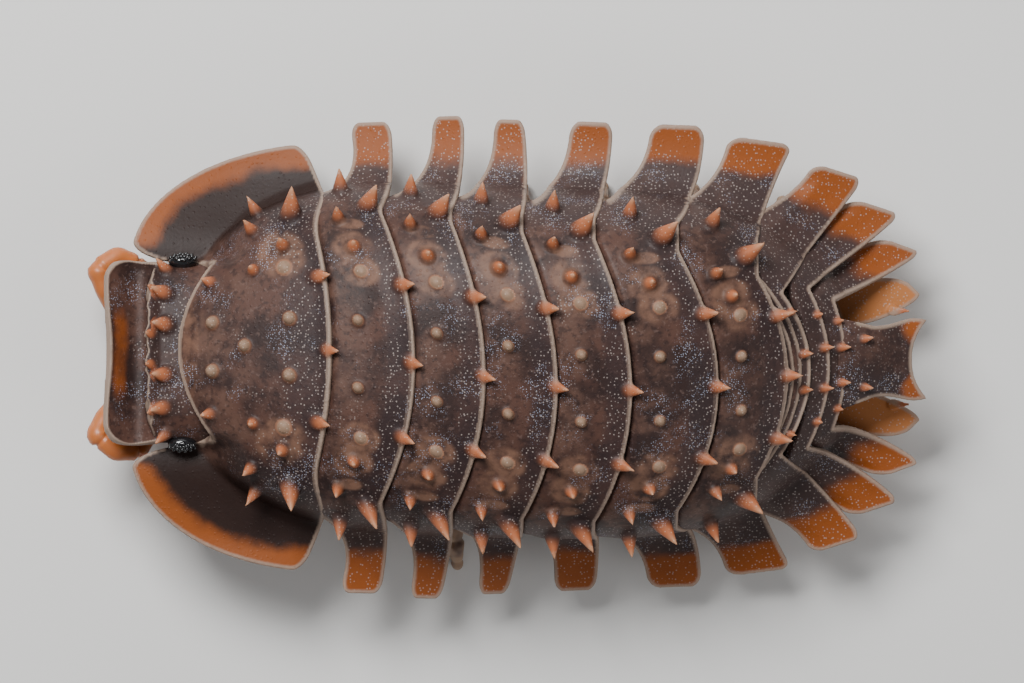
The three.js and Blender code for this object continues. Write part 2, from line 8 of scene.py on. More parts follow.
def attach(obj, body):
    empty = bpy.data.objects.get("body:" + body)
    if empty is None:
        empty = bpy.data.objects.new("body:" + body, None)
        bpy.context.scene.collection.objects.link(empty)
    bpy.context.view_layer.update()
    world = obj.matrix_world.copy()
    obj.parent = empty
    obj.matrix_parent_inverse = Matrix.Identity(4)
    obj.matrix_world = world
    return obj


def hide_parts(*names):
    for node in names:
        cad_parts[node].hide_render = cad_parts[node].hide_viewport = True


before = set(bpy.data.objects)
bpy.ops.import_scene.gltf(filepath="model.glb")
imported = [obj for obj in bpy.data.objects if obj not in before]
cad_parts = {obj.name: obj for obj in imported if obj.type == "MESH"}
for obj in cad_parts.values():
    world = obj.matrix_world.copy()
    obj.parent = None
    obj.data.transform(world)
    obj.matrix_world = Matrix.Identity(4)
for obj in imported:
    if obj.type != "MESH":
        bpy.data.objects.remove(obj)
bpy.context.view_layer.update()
bpy.ops.object.select_all(action="DESELECT")

# Back plates of the second to seventh leg segments, in millimetres until a mesh is finished.
# Thin arched cuticle, granular and dark, with rows of orange spines and pale knobs. Each plate
# is one sheet given a thickness, with its spines fused in, and overlaps the next.
def smooth(a, b, t):
    s = np.clip((np.asarray(t, float) - a) / (b - a), 0, 1)
    return s * s * (3 - 2 * s)


# Each fall is a drop, the run it takes, and the power of its curve
PEAK_X, PEAK_Z = 0.3, 4.45
FRONT_FALL, REAR_FALL = (1.65, 7, 2.2), (1.55, 5.7, 2.6)


def back_height(x):
    d = np.asarray(x, float) - PEAK_X
    front, rear = (drop * (np.abs(d) / run) ** power for drop, run, power in (FRONT_FALL, REAR_FALL))
    return PEAK_Z - np.where(d < 0, front, rear)


WIDEST_X, WIDEST = 0.8, 3.25
FRONT_NARROWING, REAR_NARROWING = (7.84, 4.8), (6.11, 3.16)


def half_width(x):
    d = np.asarray(x, float) - WIDEST_X
    front, rear = ((np.abs(d) / run) ** power for run, power in (FRONT_NARROWING, REAR_NARROWING))
    return WIDEST * (1 - np.minimum(np.where(d < 0, front, rear), 0.9))


FLANK_Z, ARCH_POWER = 1.8, 2.6


def dorsal(x, y):
    """The height of the back's own surface."""
    across = np.clip(np.abs(y) / half_width(x), 0, 1)
    return FLANK_Z + (back_height(x) - FLANK_Z) * (1 - across ** ARCH_POWER) ** (1 / ARCH_POWER)


SINK_DEPTH = 1.4


def past_flank(x, y):
    """How far to sink the back's surface where it would run on beyond the flank."""
    return SINK_DEPTH * smooth(-0.1, 0.5, np.abs(y) - half_width(x))


# Turns in degrees, the stretches of the body over which they change, and the height of the axis
TWIST_HEAD, TWIST_MIDDLE, TWIST_TAIL = -9.0, 9.5, 0.5
FRONT_TWIST, REAR_TWIST = (-5.4, 2.0), (3.5, 7.5)
AXIS_Z = 1.6


def roll_at(x):
    """The slight twist of the living animal's body about its long axis."""
    turn = TWIST_HEAD + (TWIST_MIDDLE - TWIST_HEAD) * smooth(*FRONT_TWIST, x)
    return np.radians(turn + (TWIST_TAIL - TWIST_MIDDLE) * smooth(*REAR_TWIST, x))


def pose(points):
    x, y, z = points[:, 0], points[:, 1], points[:, 2] - AXIS_Z
    cos, sin = np.cos(roll_at(x)), np.sin(roll_at(x))
    return np.column_stack((x, y * cos - z * sin, AXIS_Z + y * sin + z * cos))


def coordinates(mesh):
    flat = np.empty(len(mesh.vertices) * 3, dtype=np.float32)
    mesh.vertices.foreach_get("co", flat)
    return flat.reshape(-1, 3).astype(float)


def move_to(mesh, points):
    mesh.vertices.foreach_set("co", np.ascontiguousarray(points, dtype=np.float32).ravel())
    mesh.update()


def settle(piece):
    """Take a form's own placing into its mesh."""
    piece.data.transform(piece.matrix_basis)
    piece.matrix_basis.identity()


def modify(piece, kind, **settings):
    bpy.context.view_layer.objects.active = piece
    modifier = piece.modifiers.new(kind, kind)
    for key, value in settings.items():
        setattr(modifier, key, value)
    bpy.ops.object.modifier_apply(modifier=modifier.name)


def copy_of(form, name, placing):
    """A copy of a form with its own mesh, placed by a matrix."""
    copy = bpy.data.objects.new(name, form.data.copy())
    bpy.context.collection.objects.link(copy)
    copy.data.transform(placing)
    return copy


def join(forms, onto):
    bpy.ops.object.select_all(action="DESELECT")
    for form in (*forms, onto):
        form.select_set(True)
    bpy.context.view_layer.objects.active = onto
    bpy.ops.object.join()
    bpy.ops.object.select_all(action="DESELECT")


def store(mesh, name, values):
    layer = mesh.attributes.new(name, "FLOAT", "POINT")
    layer.data.foreach_set("value", np.ascontiguousarray(values, dtype=np.float32))


def new_grid(name, columns, rows):
    """A flat grid, and each of its points' place on it as two shares."""
    bpy.ops.mesh.primitive_grid_add(x_subdivisions=rows, y_subdivisions=columns, size=2)
    piece = bpy.context.object
    piece.name = name
    return piece, (coordinates(piece.data)[:, :2] + 1) / 2


def sheet_between(name, front, rear, height, columns, rows):
    """A grid stretched between a front and a rear line of plan points, at a given height.
    Also gives how far back each of its points lies between the two lines."""
    piece, uv = new_grid(name, columns, rows)
    along, at = uv[:, 0], uv[:, 1] * (len(front) - 1)
    knots = np.arange(len(front))
    edge = lambda line, k: np.interp(at, knots, line[:, k])
    x, y = (edge(front, k) + (edge(rear, k) - edge(front, k)) * along for k in (0, 1))
    move_to(piece.data, np.column_stack((x, y, height(x, y, along, at / (len(front) - 1)))))
    return piece, along


def tooth_form(name, foot, rings):
    """One spine or knob, a unit wide and tall: drawn up ring by ring from a disc sunk in the skin."""
    width, last = foot, -0.3
    bpy.ops.mesh.primitive_circle_add(vertices=14, radius=width, fill_type="NGON", location=(0, 0, last))
    bpy.ops.object.mode_set(mode="EDIT")
    for height, radius in rings:
        bpy.ops.mesh.extrude_region_move(TRANSFORM_OT_translate={"value": (0, 0, height - last)})
        bpy.ops.transform.resize(value=(radius / width, radius / width, 1))
        width, last = radius, height
    bpy.ops.object.mode_set(mode="OBJECT")
    form = bpy.context.object
    settle(form)
    form.name = name
    return form


spine_model = tooth_form("spine_form", 1.35, (
    (-0.02, 1.15), (0.1, 0.94), (0.35, 0.7), (0.65, 0.4), (0.88, 0.19), (1.0, 0.06)))
knob_model = tooth_form("knob_form", 1.4, (
    (0.0, 1.2), (0.12, 1.02), (0.45, 0.92), (0.75, 0.7), (0.92, 0.42), (1.0, 0.12)))


def surface_normal(height, x, y):
    step = 0.03
    dx = (height(x + step, y) - height(x - step, y)) / (2 * step)
    dy = (height(x, y + step) - height(x, y - step)) / (2 * step)
    return Vector((-float(dx), -float(dy), 1)).normalized()


def grow(piece, spines, height):
    """Stand copies of the spine and the knob on a sheet, flat at the foot and leaning over.
    Returns each one's foot, axis, surface normal and size."""
    rooted, copies = [], []
    for x, y, length, radius, lean, out, blunt in spines:
        foot = Vector((x, y, float(height(x, y))))
        normal = surface_normal(height, x, y)
        axis = normal + Vector((lean, math.copysign(out, y) if y else 0, 0))
        axis.normalize()
        turn = normal.to_track_quat("Z", "Y").to_matrix()
        turn.col[2] = axis
        size = Matrix.Diagonal((radius, radius, length, 1))
        placing = Matrix.Translation(foot) @ turn.to_4x4() @ size
        copies.append(copy_of(knob_model if blunt else spine_model, "spine", placing))
        rooted.append((np.array(foot), np.array(axis), np.array(normal), length, radius, blunt))
    join(copies, piece)
    return rooted


def both_sides(rows):
    """Rows that start with x and y, each for the left and for the right, or once on the midline."""
    return [(x, side * y, *rest) for x, y, *rest in rows for side in ((-1, 1) if y else (1,))]


def fuse_forms(piece, voxel):
    """Melt a plate and what stands on it into one skin, with soft roots and rims."""
    modify(piece, "REMESH", mode="VOXEL", voxel_size=voxel, adaptivity=0)
    modify(piece, "SMOOTH", factor=0.5, iterations=3)


def paint(piece, samples, sample_values, spines, scars=()):
    """Store in each point of a fused plate what its finish needs: how near a free edge or an orange
    end it lies, how far along the plate and out on a lobe, whether on a spine, knob or scar, and how
    near a spine's foot, where painted shade goes."""
    points = coordinates(piece.data)
    tree = KDTree(len(samples))
    for i, p in enumerate(samples):
        tree.insert(p, i)
    tree.balance()
    near = np.zeros((len(points), sample_values.shape[1]))
    for i, p in enumerate(points):
        found = tree.find_n(p, 3)
        weight = np.array([1 / (f[2] + 1e-4) for f in found])
        near[i] = weight @ sample_values[[f[1] for f in found]] / weight.sum()
    for k, name in enumerate(("rim", "orange", "along", "lobe")):
        store(piece.data, name, near[:, k])
    tip, ring, knob, scar = np.zeros((4, len(points)))
    for foot, axis, normal, length, radius, blunt in spines:
        offset = points - foot
        rise = offset @ normal / (axis @ normal)
        away = np.linalg.norm(offset - rise[:, None] * axis, axis=1)
        inside = away < radius * (1.5 - 0.95 * np.clip(rise / length, 0, 1))
        share = np.where(inside, np.clip((rise + 0.02) / length, 0, 1.2), 0)
        tip = np.maximum(tip, share)
        knob = np.maximum(knob, np.where(inside & (share > 0), blunt, 0))
        # Painted shade: a thin ring around each spine's foot, where it meets the plate
        ring = np.maximum(ring, np.exp(-((away - 1.35 * radius) / 0.08) ** 2) * (np.abs(rise) < 0.2))
    for x, y, run_x, run_y, strength in scars:
        spread = ((points[:, 0] - x) / run_x) ** 2 + ((points[:, 1] - y) / run_y) ** 2
        mark = strength * np.exp(-np.maximum(spread - 0.4, 0) * 1.4)
        scar = np.maximum(scar, mark * (points[:, 2] > 1.9))
    for name, values in (("tip", tip), ("ring", ring), ("knob", knob), ("scar", scar)):
        store(piece.data, name, values)


BODY_SHIFT = np.array((0.1978, -0.003, 0.0))
METRES = 0.001


def finish_mesh(piece, posed=True):
    """Turn the finished shape to the animal's pose and scale it to metres."""
    points = coordinates(piece.data)
    points = pose(points) if posed else points
    move_to(piece.data, (points + BODY_SHIFT) * METRES)
    bpy.ops.object.select_all(action="DESELECT")
    piece.select_set(True)
    bpy.context.view_layer.objects.active = piece
    bpy.ops.object.shade_smooth()
    bpy.ops.object.select_all(action="DESELECT")


def new_material(name, finish):
    material = bpy.data.materials.new(name)
    material.use_nodes = True
    for socket, value in finish.items():
        material.node_tree.nodes["Principled BSDF"].inputs[socket].default_value = value
    return material


def shell_material():
    material = new_material("granular_shell", {"Roughness": 0.5, "Specular IOR Level": 0.22})
    nodes, links = material.node_tree.nodes, material.node_tree.links
    surface = nodes["Principled BSDF"]
    place = nodes.new("ShaderNodeTexCoord").outputs["Object"]

    def noise(scale, detail):
        node = nodes.new("ShaderNodeTexNoise")
        node.inputs["Scale"].default_value = scale
        node.inputs["Detail"].default_value = detail
        node.inputs["Roughness"].default_value = 0.55
        links.new(place, node.inputs["Vector"])
        return node.outputs["Fac"]

    def ramp(source, low, high):
        node = nodes.new("ShaderNodeMapRange")
        node.interpolation_type = "SMOOTHSTEP"
        node.inputs["From Min"].default_value = low
        node.inputs["From Max"].default_value = high
        links.new(source, node.inputs["Value"])
        return node.outputs["Result"]

    def times(a, b):
        node = nodes.new("ShaderNodeMath")
        node.operation = "MULTIPLY"
        links.new(a, node.inputs[0])
        if isinstance(b, float):
            node.inputs[1].default_value = b
        else:
            links.new(b, node.inputs[1])
        return node.outputs[0]

    def plus(a, b, share=1.0):
        node = nodes.new("ShaderNodeMath")
        node.operation = "MULTIPLY_ADD"
        links.new(b, node.inputs[0])
        node.inputs[1].default_value = share
        links.new(a, node.inputs[2])
        return node.outputs[0]

    def value(name):
        node = nodes.new("ShaderNodeAttribute")
        node.attribute_name = name
        return node.outputs["Fac"]

    def tint(below, colour, amount):
        node = nodes.new("ShaderNodeMix")
        node.data_type = "RGBA"
        links.new(amount, node.inputs["Factor"])
        if isinstance(below, tuple):
            node.inputs[6].default_value = (*below, 1)
        else:
            links.new(below, node.inputs[6])
        node.inputs[7].default_value = (*colour, 1)
        return node.outputs[2]

    def specks(scale, size):
        node = nodes.new("ShaderNodeTexVoronoi")
        node.inputs["Scale"].default_value = scale
        node.inputs["Randomness"].default_value = 0.72
        links.new(place, node.inputs["Vector"])
        return ramp(node.outputs["Distance"], size, 0.45 * size)

    along, lobe, tip = value("along"), value("lobe"), value("tip")
    hind = ramp(along, 0.62, 0.76)
    out_on_lobe = ramp(lobe, 0.05, 0.3)
    bare_lobe = ramp(lobe, -0.1, -0.9)
    edge_glow = ramp(plus(value("orange"), noise(1500, 5), 0.9), 0.65, 1.3)
    on_spine = ramp(tip, 0.1, 0.62)
    # Painted highlights: tiny blue-white glint specks, gathered in patches
    painted_glints = times(specks(26000, 0.36), ramp(noise(1300, 3), 0.52, 0.66))
    dot_places = plus(plus(hind, out_on_lobe), ramp(noise(1500, 2), 0.5, 0.7), 0.6)
    dots = times(specks(15500, 0.3), ramp(plus(dot_places, bare_lobe, -2.0), 0.1, 0.8))
    dark, brown = (0.03, 0.016, 0.014), (0.08, 0.038, 0.028)
    colour = tint(dark, brown, ramp(noise(1100, 6), 0.4, 0.62))
    # Each further layer has a colour, and where and how strongly it lies over the ones before
    warm_front = ((0.1, 0.052, 0.038), times(ramp(along, 0.6, 0.3), ramp(noise(1900, 4), 0.4, 0.66)))
    dark_grain = ((0.018, 0.01, 0.01), times(ramp(noise(9000, 4), 0.5, 0.66), 0.55))
    pale_grain = ((0.15, 0.095, 0.08), times(ramp(noise(12500, 2), 0.58, 0.7), 0.4))
    hind_band = ((0.03, 0.018, 0.019), times(hind, 0.6))
    lobe_grey = ((0.05, 0.031, 0.029), times(out_on_lobe, 0.7))
    scar_patches = times(ramp(value("scar"), 0.3, 0.8), ramp(noise(3600, 5), 0.3, 0.66))
    scars = ((0.17, 0.088, 0.058), scar_patches)
    # Painted shade: a dark thin ring where each spine meets the plate
    rings = ((0.02, 0.014, 0.015), times(value("ring"), 0.15))
    # Painted highlight: the glint specks laid on in a pale blue-white
    painted_sparkle = ((0.42, 0.46, 0.58), times(painted_glints, 0.6))
    first_lobe = ((0.018, 0.008, 0.006), times(bare_lobe, 0.95))
    orange_end = ((0.25, 0.063, 0.011), edge_glow)
    # Partly the uropods' own paler orange, partly painted light lifting the shade the telson and tail lobes
    # cast on them
    pale_blade_and_painted_light = ((0.42, 0.155, 0.05), times(ramp(lobe, 1.2, 2.0), edge_glow))
    pale_dots = ((0.4, 0.34, 0.31), times(dots, 0.6))
    rims = ((0.33, 0.24, 0.185), times(ramp(value("rim"), 0.095, 0.035), 0.85))
    spines = ((0.4, 0.125, 0.052), on_spine)
    spine_tips = ((0.55, 0.33, 0.2), times(ramp(tip, 0.6, 1.0), 0.6))
    knobs = ((0.26, 0.165, 0.11), times(on_spine, value("knob")))
    spine_dots = ((0.62, 0.52, 0.44), times(times(specks(15000, 0.26), on_spine), 0.45))
    for layer in (warm_front, dark_grain, pale_grain, hind_band, lobe_grey, scars, rings,
                  painted_sparkle, first_lobe, orange_end, pale_blade_and_painted_light, pale_dots, rims,
                  spines, spine_tips, knobs, spine_dots):
        colour = tint(colour, *layer)
    links.new(colour, surface.inputs["Base Color"])

    bump = nodes.new("ShaderNodeBump")
    bump.inputs["Strength"].default_value = 0.5
    bump.inputs["Distance"].default_value = 0.000008
    grain = plus(noise(16000, 3), specks(10200, 0.26), 0.9)
    links.new(plus(grain, noise(4200, 4), 0.9), bump.inputs["Height"])
    links.new(bump.outputs["Normal"], surface.inputs["Normal"])
    return material


shell = shell_material()


def dress(piece, material, slot, *nodes):
    piece.data.materials.clear()
    piece.data.materials.append(material)
    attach(piece, "root")
    if nodes:
        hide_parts(*nodes)


# Where each plate ends on the midline, and how far its hind edge sweeps forward at the flanks
HIND_EDGE = (-3.38, -1.86, -0.58, 0.73, 2.08, 3.66, 4.94)
HIND_SWEEP = (0.36, 0.6, 0.6, 0.62, 0.66, 0.72, 0.55)
NECK_X, NECK_SWEEP, NECK_REACH = -6.2, 0.51, 1.47


def hind_edge(index, y):
    """Where a plate ends at a place across the back. Index -1 stands for the head."""
    y = np.abs(np.asarray(y, float))
    if index < 0:
        return NECK_X + NECK_SWEEP * np.minimum(1.2, y / NECK_REACH) ** 2
    reach = 0.82 * float(half_width(HIND_EDGE[index]))
    return HIND_EDGE[index] - HIND_SWEEP[index] * np.minimum(1, y / reach) ** 2


def curve_between(start, pull, end, t):
    t = t[:, None]
    return (1 - t) ** 2 * np.array(start) + 2 * t * (1 - t) * np.array(pull) + t * t * np.array(end)


def rounding(along, start, run, depth=1.0):
    """How far a corner is rounded off, from nothing at the start of its round to full at its end."""
    return 1 - np.sqrt(1 - depth * np.clip((along - start) / run, 0, 1) ** 2)


def lobe_lines(front, rear):
    """Plan points along a lobe's two edges, root to tip, with its corners rounded, and how far
    along the lobe they lie. Each edge is a root, a point that bends it, and a tip."""
    share = np.sin(np.linspace(0, math.pi / 2, 34))
    front, rear = curve_between(*front, share), curve_between(*rear, share)
    corner = rounding(share, 0.88, 0.12, 0.98)[:, None]
    width = rear - front
    return front + width * 0.27 * corner, rear - width * 0.2 * corner, share


def whole_lines(middle_front, middle_rear, right, left, share):
    """The two lines of a whole plate, from the left lobe's tip over the back to the right one's,
    and how far out on a lobe each of their points lies."""
    flip = np.array((1, -1))
    front = np.vstack(((left[0] * flip)[::-1], middle_front, right[0]))
    rear = np.vstack(((left[1] * flip)[::-1], middle_rear, right[1]))
    return front, rear, np.concatenate((share[::-1], np.zeros(len(middle_front)), share))


def edge_lines(front, rear, bare_front, at_end):
    """Plan points along a plate's free edges, and along the outer ends of its lobes."""
    caps = [np.linspace(front[i], rear[i], 12) for i in (0, -1)]
    ends = [np.linspace(front[i], rear[i], 12) for i in np.where(at_end)[0]]
    return np.vstack((rear, front[bare_front], *caps)), np.vstack(ends)


def distance_to(line, samples):
    return np.sqrt(((samples[:, None, :2] - line[None]) ** 2).sum(2)).min(1)


def blend_up(a, b, k):
    """The higher of two heights, with a soft valley where they meet."""
    mixed = np.clip(0.5 + 0.5 * (a - b) / k, 0, 1)
    return b + (a - b) * mixed + k * mixed * (1 - mixed)


def shell_plate(name, front, rear, share, height_of, spines, free, ends=None, thickness=0.13, voxel=0.03,
                orange_reach=(0.95, 0.2), side_fade=0.62, lobe_span=((0, 1), (0, 0)), from_flank=False,
                scars=(), columns=290, rows=22, warp=None):
    """A whole plate: sheet, thickness, spines, fused skin and its painted places. Its orange fades
    from the second to the first reach off its ends, and lobe_span turns how far out into the lobe value."""
    at_share = lambda at: np.interp(at, np.linspace(0, 1, len(share)), share)
    lifted = lambda x, y, u, at: height_of(x, y, u, at_share(at))
    sheet, along = sheet_between(name, front, rear, lifted, columns, rows)
    samples = coordinates(sheet.data)
    if warp:
        samples = warp(samples)
        move_to(sheet.data, samples)
    orange = np.zeros(len(samples))
    if ends is not None:
        sides = np.vstack((front[share > 0.3], rear[share > 0.3], ends))
        to_end = np.minimum(distance_to(ends, samples), distance_to(sides, samples) + side_fade)
        orange = 1 - smooth(orange_reach[1], orange_reach[0], to_end)
    outward = np.abs(samples[:, 1]) - (half_width(samples[:, 0]) if from_flank else 0)
    values = np.column_stack((distance_to(free, samples), orange, along, np.interp(outward, *lobe_span)))
    modify(sheet, "SOLIDIFY", thickness=thickness, offset=-1)
    top = lambda x, y: height_of(np.array([x]), np.array([y]), np.array([0.6]), np.array([0.0]))[0]
    rooted = grow(sheet, spines, top)
    fuse_forms(sheet, voxel)
    paint(sheet, samples, values, rooted, scars)
    finish_mesh(sheet)
    return sheet


# Where the spines stand: across in mm on a full-width plate, along as a share of the plate,
# then length, radius, lean to the rear, lean outward, and 1 for a knob
SPINE_ROWS = (
    (0.0, 0.92, 0.42, 0.15, 1.2, 0.0, 0),
    (1.39, 0.91, 0.46, 0.16, 1.1, 0.05, 0),
    (2.74, 0.76, 0.60, 0.22, 0.55, 0.1, 0),
    (0.62, 0.34, 0.13, 0.098, 0.1, 0.0, 1),
    (1.98, 0.44, 0.24, 0.14, 0.2, 0.0, 0),
    (1.54, 0.46, 0.06, 0.1, 0.0, 0.0, 1),
    (2.48, 0.34, 0.36, 0.135, 0.1, 0.0, 0),
    (3.02, 0.40, 0.46, 0.16, 0.1, 0.05, 0),
)
SCARRED_ROWS, LOBE_ROW = (1.98, 1.54), 3.02
# Each lobe: how far out its root lies, then for its front and its rear edge the point that bends
# the edge and the corner at the tip, and last how far forward the tip of the left lobe leans
LOBE_EDGES = (
    (2.76, (-2.75, 3.1), (-3.1, 4.32), (-2.2, 3.2), (-2.33, 4.34), 0.18),
    (2.88, (-1.45, 3.15), (-1.58, 4.43), (-0.93, 3.3), (-0.98, 4.45), 0.42),
    (2.92, (-0.36, 3.15), (-0.44, 4.4), (0.25, 3.3), (0.12, 4.4), 0.3),
    (2.95, (0.95, 3.15), (0.96, 4.4), (1.72, 3.3), (1.75, 4.38), 0.3),
    (2.86, (2.4, 3.25), (2.43, 4.36), (3.4, 3.15), (3.43, 4.32), 0.03),
    (2.44, (3.72, 3.25), (3.86, 4.14), (4.68, 3.3), (5.06, 3.94), 0.0),
)
OVERLAP = 0.14


def plate_height(x, y, u, share):
    relief = -0.22 + 0.2 * smooth(0.0, 0.16, u) + 0.03 * smooth(0.5, 0.72, u) + 0.03 * smooth(0.85, 1.0, u)
    under_front = 0.14 * smooth(0.35, 0.0, u) * smooth(0.3, 0.0, share)
    lobe = 1.62 + 0.72 * (1 - share) ** 1.6 - under_front
    return blend_up(dorsal(x, y) + relief - past_flank(x, y), lobe, 0.8)


shoulder = 2.9
for index in range(1, 7):
    root, front_pull, front_tip, rear_pull, rear_tip, lean = LOBE_EDGES[index - 1]
    front_root = (float(hind_edge(index - 1, shoulder)) - OVERLAP, shoulder)
    rear_root = (float(hind_edge(index, root)), root)
    lobes = []
    for ahead in (0.0, lean):
        bend, shift = np.array((0.5 * ahead, 0)), np.array((ahead, 0))
        *lines, share = lobe_lines((front_root, front_pull - bend, front_tip - shift),
                                   (rear_root, rear_pull - bend, rear_tip - shift))
        lobes.append(lines)
    inner, across = (np.linspace(-reach, reach, 110)[1:-1] for reach in (shoulder, root))
    front, rear, share = whole_lines(
        np.column_stack((hind_edge(index - 1, inner) - OVERLAP, inner)),
        np.column_stack((hind_edge(index, across), across)), *lobes, share)
    scale = float(half_width(0.4 * HIND_EDGE[index - 1] + 0.6 * HIND_EDGE[index])) / WIDEST
    spines, scars = [], []
    for out_from, along, *size in SPINE_ROWS:
        y = out_from * (scale ** 0.4 if out_from == LOBE_ROW else scale)
        x = (1 - along) * float(hind_edge(index - 1, y)) + along * float(hind_edge(index, y))
        y = y if out_from == LOBE_ROW else min(y, 0.94 * float(half_width(x)))
        spines.append((x, y, *size))
        if out_from in SCARRED_ROWS:
            scars += [(x - 0.02, y, 0.4, 0.3, 1.0), (x - 0.1, y + 0.42, 0.34, 0.12, 0.8)]
    free, ends = edge_lines(front, rear, share > 0.15, share > 0.9)
    shoulder = root + 0.12
    plate = shell_plate(
        f"back_plate_{index + 1}", front, rear, share, plate_height, both_sides(spines), free, ends,
        orange_reach=(0.95 if index < 5 else 0.7, 0.2), lobe_span=((2.6, 3.6), (0, 1)),
        scars=both_sides(scars))
    dress(plate, shell, "cuticle", f"pereonite_{index + 1}")

# First back plate. It is the longest, and its dark side lobes reach forward beside the head.
# Same cuticle, with a smooth brown band behind its pale front edge and more knobs and spines.
# Each spine: x and y in place, then length, radius, lean to the rear, lean outward, 1 for a knob
FIRST_SPINES = (
    (-3.5, 0.0, 0.4, 0.14, 1.3, 0, 0),
    (-3.68, 1.32, 0.44, 0.155, 1.2, 0, 0),
    (-4.15, 2.46, 0.64, 0.23, 0.4, 0.2, 0),
    (-4.13, 0.52, 0.15, 0.12, 0, 0, 1),
    (-4.26, 1.85, 0.34, 0.15, 0.1, 0, 0),
    (-4.24, 1.46, 0.08, 0.12, 0, 0, 1),
    (-4.95, 0.0, 0.15, 0.115, 0, 0, 1),
    (-4.8, 1.4, 0.22, 0.125, 0, 0, 0),
    (-4.82, 2.15, 0.36, 0.14, -0.1, 0, 0),
    (-4.75, 2.52, 0.42, 0.14, -0.1, 0.1, 0),
    (-5.54, 0.44, 0.16, 0.12, -0.1, 0, 1),
    (-5.56, 1.2, 0.3, 0.13, -0.6, 0, 0),
)
# Each smooth patch: x and y, its two half lengths, and how strong it is
FIRST_SCARS = ((-4.3, 1.7, 0.5, 0.5, 0.9), (-5.95, 0, 0.2, 1.2, 0.7), (-5.8, 0, 0.3, 0.9, 0.5))


def first_plate_height(x, y, u, share):
    hollow = 0.06 * np.sin(np.pi * np.clip(u, 0, 1)) * smooth(0.1, 0.5, share) * smooth(1.0, 0.7, share)
    lobe = 2.16 - 0.4 * smooth(0.1, 1, share) - hollow
    hind_rim = 0.03 * smooth(0.9, 1.0, u) * (np.abs(y) < 2.6)
    front_rim = 0.05 * smooth(0.12, 0.0, u) * (share < 0.05)
    beside_head = SINK_DEPTH * (smooth(-4.9, -6.1, x) * smooth(1.5, 1.85, np.abs(y)))
    return blend_up(dorsal(x, y) + (hind_rim - front_rim) - beside_head - past_flank(x, y), lobe, 0.9)


def arc_front(centre, reach, y):
    """How far forward the front half of an ellipse lies in plan, at a place across."""
    return centre[0] - reach[0] * np.sqrt(1 - np.clip((y - centre[1]) / reach[1], -1, 1) ** 2)


# The lobes of the first plate, from their root beside the head to their tip
lobe_root, lobe_turn, lobe_tip = 1.65, 2.1, 3.91
lobe_y = lobe_root + (lobe_tip - lobe_root) * np.sin(np.linspace(0, math.pi / 2, 90))
inner_front = arc_front((-5.75, lobe_turn), (1.3, 0.45), lobe_y)
outer_front = arc_front((-3.6, 1.74), (3.49, 2.2), lobe_y)
lobe_front = np.column_stack((np.where(lobe_y < lobe_turn, inner_front, outer_front), lobe_y))
corner_x = -3.52 - 0.41 * np.clip((lobe_y - 2.95) / 0.98, 0, 1) - 0.2 * rounding(lobe_y, 3.58, 0.335)
middle_x = hind_edge(0, lobe_y)
lobe_rear = np.column_stack((middle_x + (corner_x - middle_x) * smooth(2.0, 2.95, lobe_y), lobe_y))
across = np.linspace(-1.63, 1.63, 100)
front, rear, share = whole_lines(
    np.column_stack((hind_edge(-1, across), across)), np.column_stack((hind_edge(0, across), across)),
    (lobe_front, lobe_rear), (lobe_front, lobe_rear), np.clip((lobe_y - lobe_root) / 2.28, 0.02, 1))
free, ends = edge_lines(front, rear, share > -1, share > 0.97)
ends = np.vstack((ends, front[share > 0.3]))
first = shell_plate(
    "back_plate_1", front, rear, share, first_plate_height, both_sides(FIRST_SPINES), free, ends,
    orange_reach=(0.7, 0.05), side_fade=3.0, lobe_span=((-0.3, 0.1), (0, -1)), from_flank=True,
    scars=both_sides(FIRST_SCARS), columns=360, rows=48)
dress(first, shell, "cuticle", "pereonite_1")

# Tail plates. Five short overlapping arches of the same shell. The last three have side lobes
# that sweep out and back like feathers of a fan, each with a pale edge and an orange tip, and
# small spines on top. The first two are plain strips behind the seventh back plate.
STRIP_REACH, STRIP_POINTS = 1.95, 120
for number, ends_x in enumerate(((4.7, 5.05), (4.9, 5.19)), 1):
    across = np.linspace(-STRIP_REACH, STRIP_REACH, STRIP_POINTS)
    sweep = 0.52 * (np.abs(across) / 1.5) ** 2
    front, rear = (np.column_stack((x - sweep, across)) for x in ends_x)
    sunk = lambda x, y, u, share: dorsal(x, y) - 0.03 - 0.02 * number - 0.14 * smooth(0.5, 0, u)
    plate = shell_plate(f"tail_plate_{number}", front, rear, np.zeros(STRIP_POINTS), sunk, [], rear,
                        thickness=0.1, voxel=0.026, columns=160, rows=10)
    dress(plate, shell, "cuticle", "pleon")

# For each plate with lobes: its front arc and its rear arc over the back (x on the midline, sweep,
# and the place across where it has that sweep), how far out both arcs go, then for the front and
# the rear edge of its lobe the point that bends it and its corner, the tip's height, and where
# its inner and outer spines stand
TAIL_PLATES = (
    ((5.06, 0.78, 1.9), (5.35, 0.52, 1.5), (2.6, 1.5),
     ((5.05, 2.85), (5.42, 3.62)), ((5.6, 2.35), (6.36, 3.3)), 1.84, ((5.16, 0.33), (4.92, 1.12))),
    ((5.2, 0.3, 1.5), (5.71, 0.37, 1.47), (1.9, 1.47),
     ((5.35, 2.5), (6.18, 2.93)), ((6.32, 2.0), (7.04, 2.64)), 1.74, ((5.54, 0.37), (5.42, 0.98))),
    ((5.56, 0.25, 1.3), (6.02, 0.22, 1.19), (1.35, 1.19),
     ((5.6, 1.9), (6.72, 2.2)), ((6.45, 1.3), (7.44, 1.93)), 1.64, ((5.86, 0.32), (5.8, 0.8))),
)
TAIL_SPINES = ((0.28, 0.105, 1.2, 0, 0), (0.2, 0.085, 1.2, 0, 0))
